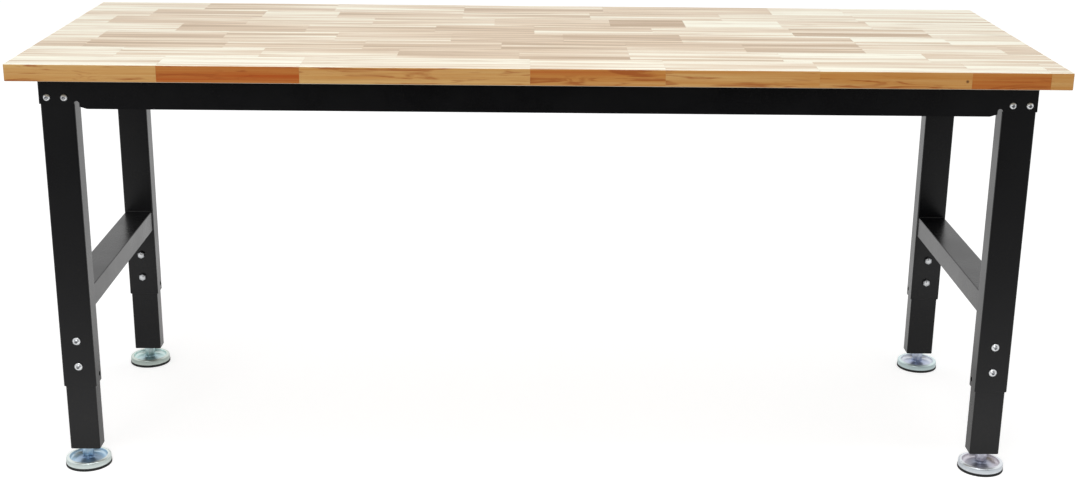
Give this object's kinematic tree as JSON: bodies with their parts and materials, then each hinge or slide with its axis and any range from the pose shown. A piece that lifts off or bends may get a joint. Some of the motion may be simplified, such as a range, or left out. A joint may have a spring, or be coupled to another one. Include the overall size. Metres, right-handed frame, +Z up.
{
  "type": "adjustable workbench",
  "caption": "Workbench with an edge-glued wood worktop on a black steel frame, with telescoping legs set by bolts and screw-adjusted levelling feet.",
  "frame": {"origin": "on the floor, under the middle of the worktop", "axes": "+X along the bench to the right as seen from the front, +Y to the back, +Z up"},
  "size_m": [1.83, 0.68, 0.778],
  "materials": {
    "wood": "clear satin lacquer on edge-glued staves",
    "black_steel": "semi-gloss black powder coat",
    "zinc": "bright zinc plating",
    "rubber": "matt black"
  },
  "bodies": {
    "frame": {"worktop": "wood", "front_beam": "black_steel", "rear_beam": "black_steel", "stretcher_left": "black_steel", "stretcher_right": "black_steel", "top_rail_left": "black_steel", "top_rail_right": "black_steel", "outer_leg_front_left": "black_steel", "outer_leg_front_right": "black_steel", "outer_leg_back_left": "black_steel", "outer_leg_back_right": "black_steel", "beam_bolt_front_left_1": "zinc", "beam_bolt_front_left_2": "zinc", "beam_bolt_front_right_1": "zinc", "beam_bolt_front_right_2": "zinc", "beam_bolt_back_left_1": "zinc", "beam_bolt_back_left_2": "zinc", "beam_bolt_back_right_1": "zinc", "beam_bolt_back_right_2": "zinc", "leg_bolt_front_left_lower": "zinc", "leg_bolt_front_left_upper": "zinc", "leg_bolt_front_right_lower": "zinc", "leg_bolt_front_right_upper": "zinc", "leg_bolt_back_left_lower": "zinc", "leg_bolt_back_left_upper": "zinc", "leg_bolt_back_right_lower": "zinc", "leg_bolt_back_right_upper": "zinc", "top_screw_1": "zinc", "top_screw_2": "zinc", "top_screw_3": "zinc", "top_screw_4": "zinc", "top_screw_5": "zinc", "top_screw_6": "zinc", "top_screw_7": "zinc", "top_screw_8": "zinc"},
    "leg_front_left": {"inner_leg_front_left": "black_steel", "foot_nut_front_left": "black_steel"},
    "foot_front_left": {"foot_disc_front_left": "zinc", "foot_pad_front_left": "rubber"},
    "stud_front_left": {"foot_stud_front_left": "zinc"},
    "leg_front_right": {"inner_leg_front_right": "black_steel", "foot_nut_front_right": "black_steel"},
    "foot_front_right": {"foot_disc_front_right": "zinc", "foot_pad_front_right": "rubber"},
    "stud_front_right": {"foot_stud_front_right": "zinc"},
    "leg_back_left": {"inner_leg_back_left": "black_steel", "foot_nut_back_left": "black_steel"},
    "foot_back_left": {"foot_disc_back_left": "zinc", "foot_pad_back_left": "rubber"},
    "stud_back_left": {"foot_stud_back_left": "zinc"},
    "leg_back_right": {"inner_leg_back_right": "black_steel", "foot_nut_back_right": "black_steel"},
    "foot_back_right": {"foot_disc_back_right": "zinc", "foot_pad_back_right": "rubber"},
    "stud_back_right": {"foot_stud_back_right": "zinc"}
  },
  "joints": [
    {"name": "leg_slide_front_left", "type": "slide", "parent": "frame", "child": "leg_front_left", "axis": [0, 0, -1], "range_m": [0, 0.25]},
    {"name": "leg_slide_front_right", "type": "slide", "parent": "frame", "child": "leg_front_right", "axis": [0, 0, -1], "range_m": [0, 0.25]},
    {"name": "leg_slide_back_left", "type": "slide", "parent": "frame", "child": "leg_back_left", "axis": [0, 0, -1], "range_m": [0, 0.25]},
    {"name": "leg_slide_back_right", "type": "slide", "parent": "frame", "child": "leg_back_right", "axis": [0, 0, -1], "range_m": [0, 0.25]},
    {"name": "foot_screw_front_left", "type": "slide", "parent": "leg_front_left", "child": "foot_front_left", "axis": [0, 0, -1], "range_m": [0, 0.0245]},
    {"name": "stud_turn_front_left", "type": "hinge", "parent": "foot_front_left", "child": "stud_front_left", "pos_m": [-0.845, -0.26, 0.026], "axis": [0, 0, -1], "range_deg": [0, 5041]},
    {"name": "foot_screw_front_right", "type": "slide", "parent": "leg_front_right", "child": "foot_front_right", "axis": [0, 0, -1], "range_m": [0, 0.0245]},
    {"name": "stud_turn_front_right", "type": "hinge", "parent": "foot_front_right", "child": "stud_front_right", "pos_m": [0.845, -0.26, 0.026], "axis": [0, 0, -1], "range_deg": [0, 5041]},
    {"name": "foot_screw_back_left", "type": "slide", "parent": "leg_back_left", "child": "foot_back_left", "axis": [0, 0, -1], "range_m": [0, 0.0245]},
    {"name": "stud_turn_back_left", "type": "hinge", "parent": "foot_back_left", "child": "stud_back_left", "pos_m": [-0.845, 0.26, 0.026], "axis": [0, 0, -1], "range_deg": [0, 5041]},
    {"name": "foot_screw_back_right", "type": "slide", "parent": "leg_back_right", "child": "foot_back_right", "axis": [0, 0, -1], "range_m": [0, 0.0245]},
    {"name": "stud_turn_back_right", "type": "hinge", "parent": "foot_back_right", "child": "stud_back_right", "pos_m": [0.845, 0.26, 0.026], "axis": [0, 0, -1], "range_deg": [0, 5041]}
  ],
  "couplings": [
    {"joint": "stud_turn_front_left", "follows": "foot_screw_front_left", "rad_per_m": 3590.4},
    {"joint": "stud_turn_front_right", "follows": "foot_screw_front_right", "rad_per_m": 3590.4},
    {"joint": "stud_turn_back_left", "follows": "foot_screw_back_left", "rad_per_m": 3590.4},
    {"joint": "stud_turn_back_right", "follows": "foot_screw_back_right", "rad_per_m": 3590.4}
  ]
}
